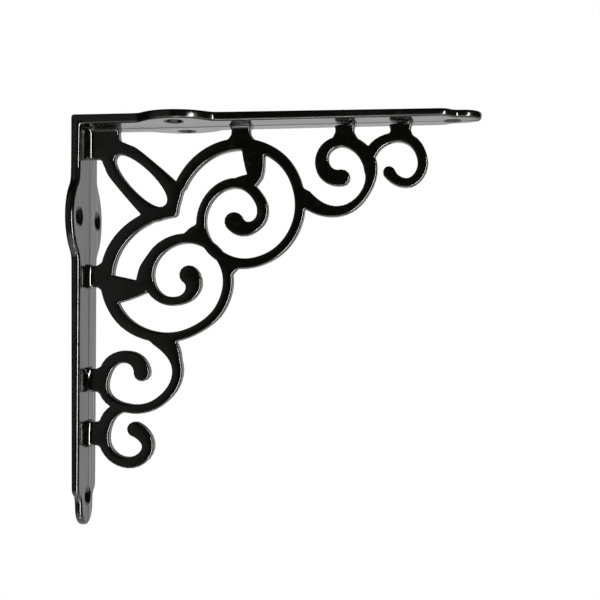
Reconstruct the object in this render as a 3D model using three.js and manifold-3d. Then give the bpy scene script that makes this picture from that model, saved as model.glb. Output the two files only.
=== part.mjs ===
// A cast-iron shelf bracket: two plates at a right angle, joined by an openwork web of scrolls that
// stands on their middle lines. The whole bracket is one casting, so it is one mesh.
// Millimetres, +Z up. The wall is on the -X side and the shelf lies on top. The web is in the XZ plane.
// The origin is on the back of the wall plate, halfway down it.
import * as THREE from "three";
import { mergeVertices } from "three/addons/utils/BufferGeometryUtils.js";
import Module from "manifold-3d";

const wasm = await Module();
wasm.setup();

// The two plates
const wallLength = 203;
const shelfLength = 201.5;
const flangeWidth = 28;
const cornerThickness = 5.4; // on the middle line, at the outer corner
const tipThickness = 4; // on the middle line, at the tip
const draft = 0.6; // a plate is thinner by this at a lobe's edge than on its middle line
const lobeRadius = 23.4; // the round swelling that carries the pair of screws
const lobeFillet = 4;
const tipWidth = 18;
const tipReach = 15.5; // length of the narrow tip beyond its shoulders
const shoulderRadius = 3;

// The screw holes, countersunk from the inner side
const screwBore = 5.2;
const screwHead = 10;
const screwSpread = 14.6; // from the middle line to each screw of a pair
const tipScrewInset = 14.5; // from the end of the plate
const screwFacets = 24;

// The web
const webThickness = 5.6;
const facetLength = 2.4;
const facetTurn = 0.24; // the most that one facet of a small curl turns, in radians
const eighthTurn = 45;
const stemFoot = 5; // how much wider a stem is where it grows out of its plate
const stemWaist = 2; // from the plate's inner face to the stem's narrowest place

// The leaf on the diagonal. A pair of numbers is a distance along the diagonal from the outer corner and
// one across it. The opening is pointed at the corner end and blunt at the tip.
const leaf = {
  blockReach: 20.5,
  side: [[20, 5.2], [27, 8.2], [34, 10.2], [58, 12], [63.6, 10.4], [67.2, 4.7], [69.9, 0.9]],
  facets: 28,
  holeFrom: 27.3,
  holeTo: 62.1,
  holeHalfWidth: 6,
  holeFullness: 0.9,
  holeLean: 0.18,
  holeFacets: 16,
};

// Where the two rings touch, by distance along the diagonal, with the widths across it
const ringJoint = { along: [79, 84, 90, 100, 106, 110.5], widths: [7.6, 7.8, 3, 3, 6.4, 3] };

// Each half of the web is drawn along its own plate: the first number of a point runs along the plate
// from the outer corner, and the second away from the plate. A scroll turns about its eye, and the
// radius and the width of its strand are given at each eighth of a turn, the last one where it ends.
// The collar is a short strand from the ring to its inner curl, and gussets thicken the places where
// strands part.
const shelfHalf = {
  lobeAt: 51.5,
  stems: [
    { at: 82, width: 9.2, reach: 14, spread: 17 },
    { at: 133.7, width: 9.2, reach: 15.5, spread: 19.5 },
    { at: 161.3, width: 10, reach: 12.5, spread: 14 },
  ],
  collar: {
    line: [[88, 16], [88.5, 21], [88.9, 26], [89, 29.5], [88.3, 32], [87.2, 34.5]],
    widths: [11.4, 10.8, 9.6, 8.1, 6.3, 4.3],
  },
  gussets: [{ line: [[76.5, 34.2], [81.5, 32.6], [87.5, 31.2]], widths: [4, 4.8, 5] }],
  ring: {
    eye: [86, 49],
    from: -157.5,
    until: 515,
    radii: [37.4, 36.1, 32.4, 26.8, 23.7, 23.5, 25.3, 25.2, 21.7, 16.8, 10, 7.2, 6.3, 6.4, 7.7, 8.5],
    widths: [5.8, 6, 5.6, 5.2, 4.8, 4.8, 5.4, 5, 4.6, 5.2, 5.4, 5.6, 5.4, 5.6, 7.8, 9.4],
  },
  scroll: {
    eye: [131, 24],
    from: 136,
    until: -278,
    radii: [24.6, 24.1, 19.2, 14.9, 11.9, 10.5, 9.6, 8.7, 8.2, 7.6],
    widths: [8.2, 5.2, 4.3, 7, 6.6, 5.4, 5.7, 6.9, 7.8, 8.2],
  },
  hook: {
    eye: [161.5, 24.5],
    from: -202.5,
    until: 144,
    radii: [16.6, 15.5, 13.3, 12.1, 10.7, 10.7, 10.6, 8.6, 7.6],
    widths: [4.2, 5.8, 4.8, 5.2, 5, 5, 4.6, 5.2, 6],
  },
};
const wallHalf = {
  lobeAt: 50.5,
  stems: [
    { at: 79.3, width: 10.4, reach: 14, spread: 18 },
    { at: 131, width: 11, reach: 13, spread: 17 },
    { at: 157.5, width: 11, reach: 12, spread: 15 },
  ],
  collar: {
    line: [[86, 16], [86, 20], [85.8, 25], [85.4, 30], [84.6, 34]],
    widths: [15, 13.4, 11, 8, 6],
  },
  gussets: [
    { line: [[69, 37.2], [75, 33.4], [84, 31]], widths: [3, 4.8, 5] },
    { line: [[112.5, 46.2], [117.5, 48.7], [123, 49.8]], widths: [6.2, 5, 4] },
  ],
  ring: {
    eye: [85.5, 50],
    from: -157.5,
    until: 500,
    radii: [38.1, 37.2, 32.8, 26.2, 22.5, 23.6, 26.1, 26, 21.8, 16.2, 10.6, 7, 6.1, 6.9, 8.4, 8.7],
    widths: [6.2, 6.8, 6, 5.2, 4.6, 4.9, 5, 4.8, 5.8, 5.8, 4.6, 4.4, 4.8, 6.4, 8.6, 9.4],
  },
  scroll: {
    eye: [127.5, 24],
    from: 138,
    until: -270,
    radii: [22.9, 25.8, 21.8, 17.6, 15.3, 11.2, 9.2, 8.1, 7.9, 7.9],
    widths: [6.8, 5.3, 4.8, 4.5, 4.6, 5.9, 6.2, 6.1, 7.2, 8.2],
  },
  hook: {
    eye: [160.5, 25],
    from: -202.5,
    until: 150,
    radii: [15.4, 16, 13.4, 12, 11.5, 11.5, 10.6, 7.3, 6],
    widths: [1.6, 6, 6.2, 5, 5, 5.8, 5.9, 7, 7.4],
  },
};

// From the part's top down to its origin, and a length that passes the whole casting for cutters
const topHeight = wallLength / 2;
const through = 60;

function solidOf(geometry) {
  const bare = new THREE.BufferGeometry();
  bare.setAttribute("position", geometry.getAttribute("position").clone());
  if (geometry.index) bare.setIndex(geometry.index);
  const merged = mergeVertices(bare, 1e-4);
  const vertProperties = new Float32Array(merged.attributes.position.array);
  const triVerts = new Uint32Array(merged.index.array);
  return new wasm.Manifold(new wasm.Mesh({ numProp: 3, vertProperties, triVerts }));
}

function geometryOf(solid) {
  const { vertProperties, triVerts } = solid.getMesh();
  const geometry = new THREE.BufferGeometry();
  geometry.setAttribute("position", new THREE.BufferAttribute(vertProperties, 3));
  geometry.setIndex(new THREE.BufferAttribute(triVerts, 1));
  return geometry;
}

const joined = (solids) => solids.reduce((whole, one) => whole.add(one));
const point = (along, away) => new THREE.Vector2(along, away);

// A smooth curve of values, one to each step
const smoothly = (values) => new THREE.SplineCurve(values.map((value, i) => point(i, value)));

// An outline given along and away from a plate, extruded to the web's thickness in the middle plane
function webSolid(points, onWall, thickness = webThickness) {
  const flat = points.map((p) => (onWall ? point(p.y, -p.x) : point(p.x, -p.y)));
  const options = { depth: thickness, bevelEnabled: false, steps: 1 };
  const geometry = new THREE.ExtrudeGeometry(new THREE.Shape(flat), options);
  geometry.rotateX(Math.PI / 2);
  geometry.translate(0, thickness / 2, topHeight);
  return solidOf(geometry);
}

// A run of points on a circle, both ends included, with the turn given in radians
function arcPoints(along, across, radius, from, to) {
  const steps = Math.max(2, Math.ceil((radius * Math.abs(to - from)) / facetLength));
  return Array.from({ length: steps + 1 }, (_, i) => {
    const angle = from + ((to - from) * i) / steps;
    return point(along + radius * Math.cos(angle), across + radius * Math.sin(angle));
  });
}

// The outline of a strand from its samples, each with its centre and half its width. Its ends are round
// or square.
function strandOutline(samples, roundEnds) {
  const last = samples.length - 1;
  const leftEdge = [];
  const rightEdge = [];
  samples.forEach(({ centre, half }, i) => {
    const before = samples[Math.max(i - 1, 0)].centre;
    const after = samples[Math.min(i + 1, last)].centre;
    const ahead = after.clone().sub(before).normalize();
    const across = point(-ahead.y, ahead.x).multiplyScalar(half);
    leftEdge.push(centre.clone().add(across));
    rightEdge.push(centre.clone().sub(across));
  });
  const cap = ({ centre, half }, edge) => {
    if (!roundEnds) return [];
    const from = edge.clone().sub(centre).angle();
    return arcPoints(centre.x, centre.y, half, from, from - Math.PI).slice(1, -1);
  };
  const farCap = cap(samples[last], leftEdge[last]);
  const nearCap = cap(samples[0], rightEdge[0]);
  return [...leftEdge, ...farCap, ...rightEdge.reverse(), ...nearCap];
}

// A strand with square ends through a few points, its width given at each of them
function bar(line, widths) {
  const curve = new THREE.SplineCurve(line);
  const widthCurve = smoothly(widths);
  const pieces = Math.ceil(curve.getLength() / facetLength);
  const samples = Array.from({ length: pieces + 1 }, (_, i) => {
    const share = curve.getUtoTmapping(i / pieces);
    return { centre: curve.getPoint(share), half: widthCurve.getPoint(share).y / 2 };
  });
  return strandOutline(samples, false);
}

// A strand that turns about its eye, with round ends
function scroll({ eye, from, until, radii, widths }) {
  const radiusCurve = smoothly(radii);
  const widthCurve = smoothly(widths);
  const last = radii.length - 1;
  const stride = Math.sign(until - from) * eighthTurn;
  const stops = radii.map((_, i) => THREE.MathUtils.degToRad(i < last ? from + stride * i : until));
  const sampleAt = (stretch, share) => {
    const progress = (stretch + share) / last;
    const radius = radiusCurve.getPoint(progress).y;
    const turn = THREE.MathUtils.lerp(stops[stretch], stops[stretch + 1], share);
    const centre = point(eye[0] + radius * Math.cos(turn), eye[1] + radius * Math.sin(turn));
    return { centre, half: widthCurve.getPoint(progress).y / 2 };
  };
  const samples = [sampleAt(0, 0)];
  for (let stretch = 0; stretch < last; stretch++) {
    const turned = Math.abs(stops[stretch + 1] - stops[stretch]);
    const facets = Math.ceil(turned / Math.min(facetLength / radii[stretch + 1], facetTurn));
    for (let i = 1; i <= facets; i++) samples.push(sampleAt(stretch, i / facets));
  }
  return strandOutline(samples, true);
}

// A waisted stem: it flares a little into the plate, and more into the scroll below it
function stem({ at, width, reach, spread }) {
  const waist = cornerThickness + stemWaist;
  const line = [cornerThickness / 2, waist, (waist + reach) / 2, reach].map((away) => point(at, away));
  return bar(line, [width + stemFoot, width, width + (spread - width) / 4, spread]);
}

function half(sizes, onWall) {
  const outlines = [
    ...sizes.stems.map(stem),
    ...[sizes.collar, ...sizes.gussets].map(({ line, widths }) => bar(line.map((p) => point(...p)), widths)),
    ...[sizes.ring, sizes.scroll, sizes.hook].map(scroll),
  ];
  return joined(outlines.map((outline) => webSolid(outline, onWall)));
}

// A point by its distance along the diagonal from the outer corner, and across it
function onDiagonal(along, across) {
  return point((along + across) / Math.SQRT2, (along - across) / Math.SQRT2);
}

// A closed outline from one side of it, mirrored in the diagonal
function bothSides(side) {
  const upper = side.map(([along, across]) => onDiagonal(along, across));
  const lower = side.map(([along, across]) => onDiagonal(along, -across));
  return [...upper, ...lower.reverse()];
}

function leafSolid() {
  const edge = new THREE.SplineCurve(leaf.side.map((p) => point(...p)));
  return webSolid(bothSides(edge.getSpacedPoints(leaf.facets).map((p) => [p.x, p.y])), false);
}

// The opening in the leaf, as a cutter
function leafHole() {
  const side = [];
  for (let i = 1; i < leaf.holeFacets; i++) {
    const share = i / leaf.holeFacets;
    const along = THREE.MathUtils.lerp(leaf.holeFrom, leaf.holeTo, (1 - Math.cos(Math.PI * share)) / 2);
    const swell = Math.sin(Math.PI * share) ** leaf.holeFullness * (1 + leaf.holeLean * (share - 0.5));
    side.push([along, leaf.holeHalfWidth * swell]);
  }
  const outline = bothSides(side);
  outline.splice(side.length, 0, onDiagonal(leaf.holeTo, 0));
  return webSolid([onDiagonal(leaf.holeFrom, 0), ...outline], false, through);
}

// The bar on the diagonal that the two rings share, flared at both ends
function ringBar() {
  const line = ringJoint.along.map((along) => onDiagonal(along, 0));
  return webSolid(bar(line, ringJoint.widths), false);
}

// The solid web in the corner between the plates
function cornerBlock() {
  const near = cornerThickness / 2;
  const far = leaf.blockReach;
  return webSolid([point(near, near), point(far, near), point(far, far), point(near, far)], false);
}

// The plan of a plate: along it from the corner, and across it from the middle line
function plateShape(length, lobeAt) {
  const edge = flangeWidth / 2;
  const quarter = Math.PI / 2;
  const filletReach = Math.sqrt((lobeRadius + lobeFillet) ** 2 - (edge + lobeFillet) ** 2);
  const meet = Math.atan2(edge + lobeFillet, filletReach);
  const shoulderAt = length - tipReach;
  const inner = shoulderAt - shoulderRadius;
  const outer = shoulderAt + shoulderRadius;
  const halfEdge = [
    point(0, edge),
    ...arcPoints(lobeAt - filletReach, edge + lobeFillet, lobeFillet, -quarter, -meet),
    ...arcPoints(lobeAt, 0, lobeRadius, Math.PI - meet, meet).slice(1),
    ...arcPoints(lobeAt + filletReach, edge + lobeFillet, lobeFillet, meet - Math.PI, -quarter).slice(1),
    ...arcPoints(inner, edge - shoulderRadius, shoulderRadius, quarter, 0),
    ...arcPoints(outer, tipWidth / 2 + shoulderRadius, shoulderRadius, Math.PI, 3 * quarter).slice(1),
    ...arcPoints(length - tipWidth / 2, 0, tipWidth / 2, quarter, 0),
  ];
  const otherEdge = halfEdge.slice(0, -1).reverse().map((p) => point(p.x, -p.y));
  return new THREE.Shape([...halfEdge, ...otherEdge]);
}

// How thick a plate is at a place on its plan
function thicknessAt(length, along, across) {
  const middle = THREE.MathUtils.lerp(cornerThickness, tipThickness, along / length);
  return middle - (draft * Math.abs(across)) / lobeRadius;
}

// The space under a plate's inner face: a shallow roof whose ridge is the parting line
function plateRoof(length) {
  const roof = new THREE.BoxGeometry(length, flangeWidth + lobeRadius, 1, 1, 2, 1);
  roof.translate(length / 2, 0, 0);
  const place = roof.attributes.position;
  for (let i = 0; i < place.count; i++) {
    const onTop = place.getZ(i) > 0;
    place.setZ(i, onTop ? thicknessAt(length, place.getX(i), place.getY(i)) : 0);
  }
  return solidOf(roof);
}

// A countersunk hole, as a cutter that stands clear of both faces
function screwHole(length, along, across) {
  const surface = thicknessAt(length, along, across);
  const bore = screwBore / 2;
  const head = screwHead / 2;
  const profile = [
    point(0, -1),
    point(bore, -1),
    point(bore, surface - (head - bore)),
    point(head, surface),
    point(head, surface + 1),
    point(0, surface + 1),
  ];
  const geometry = new THREE.LatheGeometry(profile, screwFacets);
  geometry.rotateX(Math.PI / 2);
  geometry.translate(along, across, 0);
  return solidOf(geometry);
}

// A plate lying on its outer face, with its screw holes
function plate(length, lobeAt) {
  const options = { depth: through, bevelEnabled: false };
  const blank = new THREE.ExtrudeGeometry(plateShape(length, lobeAt), options);
  const screws = [[lobeAt, -screwSpread], [lobeAt, screwSpread], [length - tipScrewInset, 0]];
  const holes = joined(screws.map(([along, across]) => screwHole(length, along, across)));
  return solidOf(blank).intersect(plateRoof(length)).subtract(holes);
}

// These stand a plate that lies on its outer face against the wall, or hang it under the shelf
const ontoWall = new THREE.Matrix4().set(0, 0, 1, 0, 0, 1, 0, 0, -1, 0, 0, topHeight, 0, 0, 0, 1);
const underShelf = new THREE.Matrix4().set(1, 0, 0, 0, 0, -1, 0, 0, 0, 0, -1, topHeight, 0, 0, 0, 1);
const placed = (solid, matrix) => solidOf(geometryOf(solid).applyMatrix4(matrix));

const plates = [
  placed(plate(wallLength, wallHalf.lobeAt), ontoWall),
  placed(plate(shelfLength, shelfHalf.lobeAt), underShelf),
];
const web = [half(shelfHalf, false), half(wallHalf, true), leafSolid(), ringBar(), cornerBlock()];
const casting = joined([...plates, ...web]).subtract(leafHole());

const blackPaint = new THREE.MeshStandardMaterial({ color: 0x141413, roughness: 0.25, metalness: 0 });
const bracket = new THREE.Mesh(geometryOf(casting), blackPaint);
bracket.name = "scroll_bracket";

const group = new THREE.Group();
group.add(bracket);
export default group;
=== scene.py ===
import math

import bpy
from mathutils import Matrix, Vector


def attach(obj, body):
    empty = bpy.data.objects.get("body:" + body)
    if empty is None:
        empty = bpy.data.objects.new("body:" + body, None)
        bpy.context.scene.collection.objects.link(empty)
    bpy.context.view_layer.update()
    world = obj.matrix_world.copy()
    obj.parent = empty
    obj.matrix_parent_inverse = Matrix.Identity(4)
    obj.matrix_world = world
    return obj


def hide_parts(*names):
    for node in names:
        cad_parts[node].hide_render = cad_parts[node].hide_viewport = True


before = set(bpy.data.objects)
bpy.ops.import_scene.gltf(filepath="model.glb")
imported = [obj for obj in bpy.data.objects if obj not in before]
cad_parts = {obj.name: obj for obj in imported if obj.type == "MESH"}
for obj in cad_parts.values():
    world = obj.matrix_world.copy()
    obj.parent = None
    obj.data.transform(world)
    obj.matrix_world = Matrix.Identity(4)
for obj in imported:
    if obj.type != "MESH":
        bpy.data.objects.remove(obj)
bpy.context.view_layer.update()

# The wall plate and the shelf plate, of grey iron and cast in one with the web. Each is a flat bar with a
# round lobe for a pair of screws and a narrow rounded tip for one more, a little thinner towards its edges
# and its tip, so that the pattern draws out of the sand. The casting and the paint soften every edge.
MM = 0.001
SAME = 1e-6
TOP = 101.5 * MM
WALL_LENGTH, SHELF_LENGTH = 203 * MM, 201.5 * MM
HALF_WIDTH = 14 * MM
CORNER_THICK, TIP_THICK = 5.4 * MM, 4.0 * MM
DRAFT = 0.6 / 21.5
PLATE_EDGE, EDGE_TURN = 1.5 * MM, math.radians(35)
SLICE_DEPTH = 0.8 * MM
HOLE_REACH = 4 * MM
CORNER_ZONE = 10 * MM
WALL_LOBE, SHELF_LOBE = 50.5 * MM, 51.5 * MM
SCREW_SPREAD, TIP_SCREW = 14.6 * MM, 14.5 * MM
TURN_SIGN = -1  # transform.rotate turns against the right-hand rule here
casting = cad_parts["scroll_bracket"]


def only(*objects):
    bpy.ops.object.select_all(action="DESELECT")
    for o in objects:
        o.select_set(True)
    bpy.context.view_layer.objects.active = objects[0]


def edit(obj):
    only(obj)
    bpy.ops.object.mode_set(mode="EDIT")
    bpy.ops.mesh.select_mode(type="VERT")
    bpy.ops.mesh.select_all(action="SELECT")


def done():
    bpy.ops.object.mode_set(mode="OBJECT")


def pick(obj, wanted):
    """Selects the vertices that the test wants, and comes back to edit mode."""
    bpy.ops.object.mode_set(mode="OBJECT")
    for part in (obj.data.polygons, obj.data.edges):
        for one in part:
            one.select = False
    for v in obj.data.vertices:
        v.select = bool(wanted(v.co))
    bpy.ops.object.mode_set(mode="EDIT")


def cut(at, facing, **cleared):
    """Cuts the mesh that is being edited along a plane, and clears the sides that are named."""
    bpy.ops.mesh.select_all(action="SELECT")
    bpy.ops.mesh.bisect(plane_co=at, plane_no=facing, **cleared)


def apply_modifier(obj, kind, **settings):
    only(obj)
    bpy.ops.object.modifier_add(type=kind)
    modifier = obj.modifiers[-1]
    for key, value in settings.items():
        setattr(modifier, key, value)
    bpy.ops.object.modifier_apply(modifier=modifier.name)


def copy_of_casting(name):
    copy = casting.copy()
    copy.data = casting.data.copy()
    copy.name = copy.data.name = name
    copy.parent = None
    for key in list(copy.keys()):
        del copy[key]
    copy.data.materials.clear()
    copy.hide_viewport = copy.hide_render = False
    bpy.context.scene.collection.objects.link(copy)
    copy.hide_set(False)
    edit(copy)
    bpy.ops.mesh.remove_doubles(threshold=SAME)
    return copy


def soften_line(obj, merge, longest, repeat, moves):
    """Evens out the vertices of a wire outline and smooths those that may move."""
    bpy.ops.mesh.select_all(action="SELECT")
    bpy.ops.mesh.remove_doubles(threshold=merge)
    for _ in range(5):
        bpy.ops.object.mode_set(mode="OBJECT")
        points = obj.data.vertices
        for v in points:
            v.select = False
        long_ones = 0
        for e in obj.data.edges:
            a, b = (points[i] for i in e.vertices)
            e.select = (a.co - b.co).length > longest and moves(a.co) and moves(b.co)
            long_ones += e.select
            if e.select:
                a.select = b.select = True
        bpy.ops.object.mode_set(mode="EDIT")
        if not long_ones:
            break
        bpy.ops.mesh.select_mode(type="EDGE")
        bpy.ops.mesh.subdivide(number_cuts=1)
        bpy.ops.mesh.select_mode(type="VERT")
    pick(obj, moves)
    bpy.ops.mesh.vertices_smooth(factor=0.5, repeat=repeat)


def thickness(along, length):
    return CORNER_THICK + (TIP_THICK - CORNER_THICK) * along / length


def screws_of(length, lobe_at):
    """The places of a plate's three screws: how far from the corner, and how far from the middle line."""
    return (lobe_at, SCREW_SPREAD), (lobe_at, -SCREW_SPREAD), (length - TIP_SCREW, 0)


def plate(name, length, lobe_at, on_wall):
    """Slices the casting just inside the plate's outer face, and raises the plate again from that outline."""
    obj = copy_of_casting(name)
    corner = Vector((0, 0, TOP))
    if on_wall:
        out, lengthwise, turn = Vector((1, 0, 0)), "Z", 1
    else:
        out, lengthwise, turn = Vector((0, 0, -1)), "X", -1
    along = lambda p: TOP - p.z if on_wall else p.x
    cut(corner + out * SLICE_DEPTH, out, clear_inner=True, clear_outer=True)
    screws = screws_of(length, lobe_at)
    pick(obj, lambda p: any(math.hypot(p.y - y, along(p) - at) < HOLE_REACH for at, y in screws))
    bpy.ops.mesh.delete(type="VERT")
    at_corner = lambda p: along(p) < 0.5 * MM and abs(p.y) > HALF_WIDTH - 0.2 * MM
    pick(obj, lambda p: along(p) < CORNER_ZONE and not at_corner(p))
    bpy.ops.mesh.dissolve_verts()
    soften_line(obj, 0.7 * MM, 1.6 * MM, 4, lambda p: along(p) > 1 * MM)
    bpy.ops.mesh.select_all(action="SELECT")
    bpy.ops.mesh.edge_face_add()
    bpy.ops.transform.translate(value=out * -SLICE_DEPTH)
    bpy.ops.mesh.extrude_region_move(TRANSFORM_OT_translate={"value": out * CORNER_THICK})
    bpy.ops.mesh.select_all(action="SELECT")
    bpy.ops.mesh.normals_make_consistent(inside=False)
    cut((0, 0, 0), (0, 1, 0))
    inner = lambda p: (p - corner).dot(out) > CORNER_THICK / 2
    ridge = corner + out * CORNER_THICK
    for side in (-1, 1):
        pick(obj, lambda p: inner(p) and p.y * side > SAME)
        lean = DRAFT * side * TURN_SIGN
        bpy.ops.transform.rotate(value=lean, orient_axis=lengthwise, center_override=ridge)
    pick(obj, inner)
    taper = math.atan((CORNER_THICK - TIP_THICK) / length)
    bpy.ops.transform.rotate(value=taper * turn * TURN_SIGN, orient_axis="Y", center_override=ridge)
    done()
    apply_modifier(obj, "BEVEL", width=PLATE_EDGE, segments=4, limit_method="ANGLE", angle_limit=EDGE_TURN)
    return obj


plates = plate("plates", WALL_LENGTH, WALL_LOBE, True)
shelf_plate = plate("shelf_plate", SHELF_LENGTH, SHELF_LOBE, False)

# The two plates are cut to a mitre at the corner and made one.
MITRE_WELD = 0.02 * MM
for obj, beyond in ((plates, {"clear_outer": True}), (shelf_plate, {"clear_inner": True})):
    edit(obj)
    cut((0, 0, TOP), Vector((1, 0, 1)).normalized(), **beyond)
    done()
only(plates, shelf_plate)
bpy.ops.object.join()
edit(plates)
bpy.ops.mesh.remove_doubles(threshold=MITRE_WELD)
done()

# The screw holes: drilled or cored through each plate and opened out on the inner side for a
# countersunk head, their rims rounded over by the paint.
BORE, HEAD, SINK = 2.6 * MM, 5.0 * MM, 2.4 * MM
ROUND_RIM = 0.35 * MM
CUTTER_HALF, CUTTER_WIDE, CUTTER_RISE = 15 * MM, HEAD + 2 * MM, 0.4 * MM


def screw_hole(at, inward):
    bpy.ops.object.select_all(action="DESELECT")
    bpy.ops.mesh.primitive_cylinder_add(vertices=48, radius=BORE, depth=2 * CUTTER_HALF, location=(0, 0, 0))
    cutter = bpy.context.object
    edit(cutter)
    steps = ((-SINK, BORE), (-ROUND_RIM, HEAD - ROUND_RIM), (0, HEAD + 0.6 * ROUND_RIM),
             (CUTTER_RISE, CUTTER_WIDE), (CUTTER_HALF, CUTTER_WIDE))
    for height, radius in steps[:-1]:
        cut((0, 0, height), (0, 0, 1))
    for height, radius in steps:
        pick(cutter, lambda p: abs(p.z - height) < SAME)
        bpy.ops.transform.resize(value=(radius / BORE, radius / BORE, 1), center_override=(0, 0, height))
    done()
    turned = Vector(inward).to_track_quat("Z", "Y").to_matrix().to_4x4()
    cutter.data.transform(Matrix.Translation(at) @ turned)
    apply_modifier(plates, "BOOLEAN", operation="DIFFERENCE", solver="EXACT", use_hole_tolerant=True,
                   object=cutter)
    bpy.data.objects.remove(cutter)


for along, across in screws_of(WALL_LENGTH, WALL_LOBE):
    surface = thickness(along, WALL_LENGTH) - DRAFT * abs(across)
    screw_hole((surface, across, TOP - along), (1, 0, 0))
for along, across in screws_of(SHELF_LENGTH, SHELF_LOBE):
    surface = thickness(along, SHELF_LENGTH) - DRAFT * abs(across)
    screw_hole((along, across, TOP - surface), (0, 0, -1))

# The mould's two halves met along the middle of both plates, and left a low ridge there under the paint.
RIDGE_HALF, RIDGE_HIGH = 0.6 * MM, 0.25 * MM
RIDGE_START, ON_SURFACE = CORNER_THICK + 1 * MM, 0.02 * MM
edit(plates)
for level in (-RIDGE_HALF, 0, RIDGE_HALF):
    cut((0, level, 0), (0, 1, 0))
cut((0, 0, TOP - RIDGE_START - 1 * MM), (0, 0, 1))
cut((RIDGE_START + 1 * MM, 0, 0), (1, 0, 0))
pick(plates, lambda p: abs(p.y) < SAME and TOP - p.z > RIDGE_START
     and abs(p.x - thickness(TOP - p.z, WALL_LENGTH)) < ON_SURFACE)
bpy.ops.transform.translate(value=(RIDGE_HIGH, 0, 0))
pick(plates, lambda p: abs(p.y) < SAME and p.x > RIDGE_START
     and abs(TOP - p.z - thickness(p.x, SHELF_LENGTH)) < ON_SURFACE)
bpy.ops.transform.translate(value=(0, 0, -RIDGE_HIGH))
done()


class Coat:
    """One socket of a paint's nodes. Sums and products of these add the Math nodes."""

    def __init__(self, tree, socket=None):
        self.tree, self.socket = tree, socket

    def node(self, kind, settings, values, output=0):
        made = self.tree.nodes.new(kind)
        for name, value in settings.items():
            setattr(made, name, value)
        for name, value in values.items():
            if isinstance(value, Coat):
                self.tree.links.new(value.socket, made.inputs[name])
            else:
                made.inputs[name].default_value = value
        return Coat(self.tree, made.outputs[output] if made.outputs else None)

    def maths(self, operation, a, b):
        return self.node("ShaderNodeMath", {"operation": operation}, {0: a, 1: b})

    def __add__(self, other):
        return self.maths("ADD", self, other)

    def __sub__(self, other):
        return self.maths("SUBTRACT", self, other)

    def __rsub__(self, other):
        return self.maths("SUBTRACT", other, self)

    def __mul__(self, other):
        return self.maths("MULTIPLY", self, other)

    __radd__, __rmul__ = __add__, __mul__

    def between(self, low, high):
        """0 below the low value, 1 above the high one and evenly in between."""
        limits = {"Value": self, "From Min": low, "From Max": high}
        return self.node("ShaderNodeMapRange", {"clamp": True}, limits)

    def blend(self, dark, light):
        return self.node("ShaderNodeMix", {"data_type": "RGBA"}, {0: self, 6: dark, 7: light}, 2)


BLACK, DUSTY = (0.0009, 0.0009, 0.0008, 1), (0.004, 0.0038, 0.0033, 1)


def gloss_paint(name, streaks, streak_depth):
    """Gloss black over the sand-cast surface, with the brush's lengthwise streaks as strong as given."""
    made = bpy.data.materials.new(name)
    made.use_nodes = True
    made.diffuse_color = (0.02, 0.02, 0.019, 1)
    shader = made.node_tree.nodes["Principled BSDF"]
    place = Coat(made.node_tree).node("ShaderNodeTexCoord", {}, {}, "Object")
    noise = lambda at, scale, detail: place.node(
        "ShaderNodeTexNoise", {}, {"Vector": at, "Scale": scale, "Detail": detail, "Roughness": 0.55}, 0)
    stretched = place.node("ShaderNodeVectorMath", {"operation": "MULTIPLY"}, {0: place, 1: (14, 620, 14)})
    streak = noise(stretched, 1, 5).between(0.38, 0.68)
    sand = noise(place, 1500, 3)
    uneven = noise(place, 90, 2)
    dust = noise(place, 260, 4).between(0.52, 0.8) * noise(place, 35, 2).between(0.4, 0.75)
    colour = dust.blend(BLACK, DUSTY)
    rough = 0.05 + 0.04 * uneven + streaks * streak + 0.1 * dust
    height = 0.004 * MM * sand + 0.03 * MM * uneven + streak_depth * streak
    bump = place.node("ShaderNodeBump", {}, {"Strength": 1.0, "Distance": 1.0, "Height": height})
    for socket, value in (("Base Color", colour), ("Roughness", rough), ("Normal", bump)):
        made.node_tree.links.new(value.socket, shader.inputs[socket])
    shader.inputs["IOR"].default_value = 1.52
    return made


def finish_piece(obj, paint):
    obj.data.materials.clear()
    obj.data.materials.append(paint)
    only(obj)
    bpy.ops.object.shade_smooth_by_angle(angle=math.radians(40))
    apply_modifier(obj, "WEIGHTED_NORMAL", keep_sharp=True, weight=80)
    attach(obj, "root")
    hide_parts("scroll_bracket")


finish_piece(plates, gloss_paint("plate_paint", 0.2, 0.012 * MM))

# The web: a leaf on the diagonal, two rings that curl inwards and a scroll and a hook beyond each, all in
# one flat openwork panel, of the same iron and cast with the plates. Its edges are rounded, and a faint line
# runs round them where the two halves of the mould met.
WEB_HALF, WEB_EDGE = 2.8 * MM, 0.9 * MM
CLEAR, BURIED = 0.3 * MM, 1.6 * MM
SEAM = 0.12 * MM
FLARE = 3 * MM
FLARE_STEPS = (0.1 * MM, 0.3 * MM, 0.6 * MM, 1.0 * MM, 1.5 * MM, 2.1 * MM, 2.9 * MM)
CORNER_TURN, FILLET_REACH = math.radians(32), 1.6 * MM
STRAND_ENDS = ((52.3, 63.5, 1.2), (58.7, 48.1, 0.75), (78.9, 25.1, 0.8), (37.3, 48.9, 0.9),
               (34.3, 31.6, 1.3), (113.4, 64.4, 0.8), (63.5, 35.6, 0.6), (36.7, -10.9, 1.1))
WALL_INNER, SHELF_INNER = Vector((CORNER_THICK, 0, TOP)), Vector((0, 0, TOP - CORNER_THICK))
wall_face = Vector((1, 0, (TIP_THICK - CORNER_THICK) / WALL_LENGTH)).normalized()
shelf_face = Vector(((TIP_THICK - CORNER_THICK) / SHELF_LENGTH, 0, 1)).normalized()


def above_wall(p):
    return (p - WALL_INNER).dot(wall_face)


def below_shelf(p):
    return -(p - SHELF_INNER).dot(shelf_face)


def foot(p):
    return min(above_wall(p), below_shelf(p)) < CLEAR + 0.01 * MM


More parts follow.
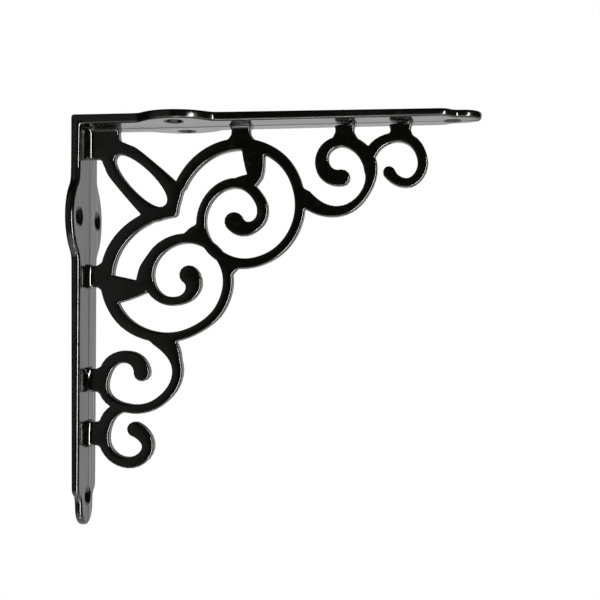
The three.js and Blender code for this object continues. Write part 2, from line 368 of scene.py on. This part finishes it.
web = copy_of_casting("scroll_web")
cut(WALL_INNER + wall_face * CLEAR, wall_face, use_fill=True, clear_inner=True)
cut(SHELF_INNER - shelf_face * CLEAR, shelf_face, use_fill=True, clear_outer=True)
cut((0, 0, 0), (0, 1, 0), clear_inner=True, clear_outer=True)
bpy.ops.mesh.select_all(action="SELECT")
bpy.ops.mesh.remove_doubles(threshold=0.06 * MM)
bpy.ops.mesh.select_all(action="SELECT")
bpy.ops.mesh.delete_loose(use_verts=True, use_edges=False, use_faces=False)
done()

# Where one strand's end lies on another the outline has a small step, which is taken out. STRAND_ENDS gives
# its X, its Z and its reach in mm. A smooth line is then drawn through the outline's points. It stays sharp
# where strands part and at the feet, and where they part it gets a small fillet.
edit(web)
for x, z, reach in STRAND_ENDS:
    pick(web, lambda p: math.hypot(p.x - x * MM, p.z - z * MM) < reach * MM)
    bpy.ops.mesh.dissolve_verts()
done()
beside = {v.index: [] for v in web.data.vertices}
for e in web.data.edges:
    a, b = e.vertices
    beside[a].append(b)
    beside[b].append(a)
partings, feet = [], []
for v in web.data.vertices:
    before, after = (web.data.vertices[i].co for i in beside[v.index][:2])
    if foot(v.co):
        feet.append(v.co.copy())
    elif (v.co - before).angle(after - v.co) > CORNER_TURN:
        partings.append(v.co.copy())
only(web)
bpy.ops.object.convert(target="CURVE")
bpy.ops.object.mode_set(mode="EDIT")
bpy.ops.curve.select_all(action="SELECT")
bpy.ops.curve.spline_type_set(type="BEZIER")
bpy.ops.curve.handle_type_set(type="AUTOMATIC")
bpy.ops.curve.select_all(action="DESELECT")
bpy.ops.object.mode_set(mode="OBJECT")
for spline in web.data.splines:
    for point in spline.bezier_points:
        point.select_control_point = any((point.co - c).length < SAME for c in partings + feet)
bpy.ops.object.mode_set(mode="EDIT")
bpy.ops.curve.handle_type_set(type="VECTOR")
bpy.ops.object.mode_set(mode="OBJECT")
web.data.resolution_u = 4
bpy.ops.object.convert(target="MESH")
edit(web)
near_parting = lambda p: not foot(p) and any((p - c).length < FILLET_REACH for c in partings)
soften_line(web, 0.04 * MM, 0.45 * MM, 14, near_parting)
for near, inward in ((above_wall, -wall_face), (below_shelf, shelf_face)):
    pick(web, lambda p: near(p) < CLEAR + 0.01 * MM)
    bpy.ops.transform.translate(value=inward * BURIED)
done()

# The outline is laid flat, filled and given its thickness and rounded edges, and stood up again. Then come
# the line of the mould's halves and, where a stem grows out of its plate, a small flare.
lay_flat = Matrix.Rotation(math.radians(-90), 4, "X")
web.data.transform(lay_flat)
only(web)
bpy.ops.object.convert(target="CURVE")
web.data.dimensions = "2D"
web.data.fill_mode = "BOTH"
web.data.extrude = WEB_HALF - WEB_EDGE
web.data.bevel_depth = WEB_EDGE
web.data.bevel_resolution = 2
web.data.offset = -WEB_EDGE
only(web)
bpy.ops.object.convert(target="MESH")
web.data.transform(lay_flat.inverted())
edit(web)
bpy.ops.mesh.remove_doubles(threshold=SAME)
cut((0, 0, 0), (0, 1, 0))
pick(web, lambda p: abs(p.y) < SAME)
bpy.ops.transform.shrink_fatten(value=SEAM)
for height in FLARE_STEPS:
    cut(WALL_INNER + wall_face * height, wall_face)
for height in FLARE_STEPS:
    cut(SHELF_INNER - shelf_face * height, shelf_face)
bpy.ops.mesh.select_all(action="SELECT")
bpy.ops.mesh.normals_make_consistent(inside=False)
done()
for v in web.data.vertices:
    above_foot = min(max(min(above_wall(v.co), below_shelf(v.co)), 0), FLARE)
    v.co.y *= 1 + (FLARE - math.sqrt(FLARE ** 2 - (FLARE - above_foot) ** 2)) / WEB_HALF

finish_piece(web, gloss_paint("web_paint", 0.02, 0))

# The camera stands in front of the web, to the right of its middle and level with it. Its focal length and
# the middle of its picture are in pixels of a picture 600 wide.
FOCAL, MIDDLE, PICTURE, SENSOR = 1100, (372.0165, 299.9375), 600, 36
camera = bpy.data.objects.new("camera", bpy.data.cameras.new("camera"))
bpy.context.scene.collection.objects.link(camera)
bpy.context.scene.camera = camera
yaw, pitch, roll = 0.05807992651695782, -0.01943180727362268, -0.006156712216088824
cy, sy, cp, sp = math.cos(yaw), math.sin(yaw), math.cos(pitch), math.sin(pitch)
cr, sr = math.cos(roll), math.sin(roll)
turned = (Matrix(((cr, -sr, 0), (sr, cr, 0), (0, 0, 1))) @ Matrix(((1, 0, 0), (0, cp, -sp), (0, sp, cp)))
          @ Matrix(((cy, 0, sy), (0, 1, 0), (-sy, 0, cy))) @ Matrix(((1, 0, 0), (0, 0, -1), (0, 1, 0))))
right, down, ahead = (Vector(row) for row in turned)
stand = Matrix.Translation((178.048 * MM, -541.256 * MM, (-102.485 + 101.5) * MM))
camera.matrix_world = stand @ Matrix((right, -down, -ahead)).transposed().to_4x4()
camera.data.lens = SENSOR * FOCAL / PICTURE
camera.data.shift_x = -(MIDDLE[0] - PICTURE / 2) / PICTURE
camera.data.shift_y = (MIDDLE[1] - PICTURE / 2) / PICTURE
camera.data.clip_end = 20

# A white sweep stands behind the bracket and the rest of the studio is dark, so that the glossy front stays
# black. The sweep is dim straight behind the web, which darkens its sides. The camera sees plain white, and
# the floor is lit evenly.
DARK, WHITE, LEFT_GLOW, DIMMING = 0.01, 1.02, 0.22, 0.85
world = bpy.data.worlds.new("studio")
bpy.context.scene.world = world
world.use_nodes = True
world.node_tree.nodes.clear()
studio = Coat(world.node_tree)
toward = studio.node("ShaderNodeTexCoord", {}, {}, "Generated")
side = studio.node("ShaderNodeSeparateXYZ", {}, {"Vector": toward}, "X")
depth = studio.node("ShaderNodeSeparateXYZ", {}, {"Vector": toward}, "Y")
up = studio.node("ShaderNodeSeparateXYZ", {}, {"Vector": toward}, "Z")
left_glow = (0 - side).between(0.19, 0.3) * (0 - depth).between(0.3, 0.6)
past_shelf = (1 - side.between(0.03, 0.08)) * (1 - up.between(-0.1, -0.06))
dim = depth.between(0.5, 0.9) * (1 - side.between(0.18, 0.22)) * (1 - past_shelf)
bright = DARK + WHITE * depth.between(0.5, 0.75) * (1 - DIMMING * dim) + LEFT_GLOW * left_glow
seen = studio.node("ShaderNodeLightPath", {}, {}, "Is Camera Ray")
on_floor = studio.node("ShaderNodeLightPath", {}, {}, "Is Diffuse Ray")
strength = bright + (seen + on_floor) * (1 - bright)
backdrop = studio.node("ShaderNodeBackground", {}, {"Color": (1, 1, 1, 1), "Strength": strength})
studio.node("ShaderNodeOutputWorld", {}, {"Surface": backdrop})


# A tall soft light in front and to the right draws the thin bright lines along the rounded edges, and a small
# one from below lifts the undersides. The floor lies well under the bracket, which hangs on a wall.
AIMED_AT = Vector((0.08, 0, 0))
FLOOR_SIZE, FLOOR_LEVEL = 3, -1.1


def soft_light(name, at, size, height, power):
    data = bpy.data.lights.new(name, "AREA")
    data.shape, data.size, data.size_y, data.energy = "RECTANGLE", size, height, power
    light = bpy.data.objects.new(name, data)
    light.location = at
    light.rotation_euler = (AIMED_AT - Vector(at)).to_track_quat("-Z", "Y").to_euler()
    bpy.context.scene.collection.objects.link(light)


bpy.ops.object.select_all(action="DESELECT")
bpy.ops.mesh.primitive_plane_add(size=FLOOR_SIZE, location=(0, 0, 0))
floor = bpy.context.object
floor.name = "floor"
floor.data.transform(Matrix.Translation((0.1, 0, FLOOR_LEVEL)))
pale = bpy.data.materials.new("pale_floor")
pale.use_nodes = True
floor_shader = pale.node_tree.nodes["Principled BSDF"]
floor_shader.inputs["Base Color"].default_value = (0.85, 0.85, 0.84, 1)
floor_shader.inputs["Roughness"].default_value = 0.8
floor.data.materials.append(pale)
soft_light("window", (0.85, -1.05, -0.35), 0.22, 1.6, 54)
soft_light("low_fill", (0.0, -0.35, -0.9), 0.25, 0.08, 1.5)
bpy.context.scene.view_settings.view_transform = "Standard"
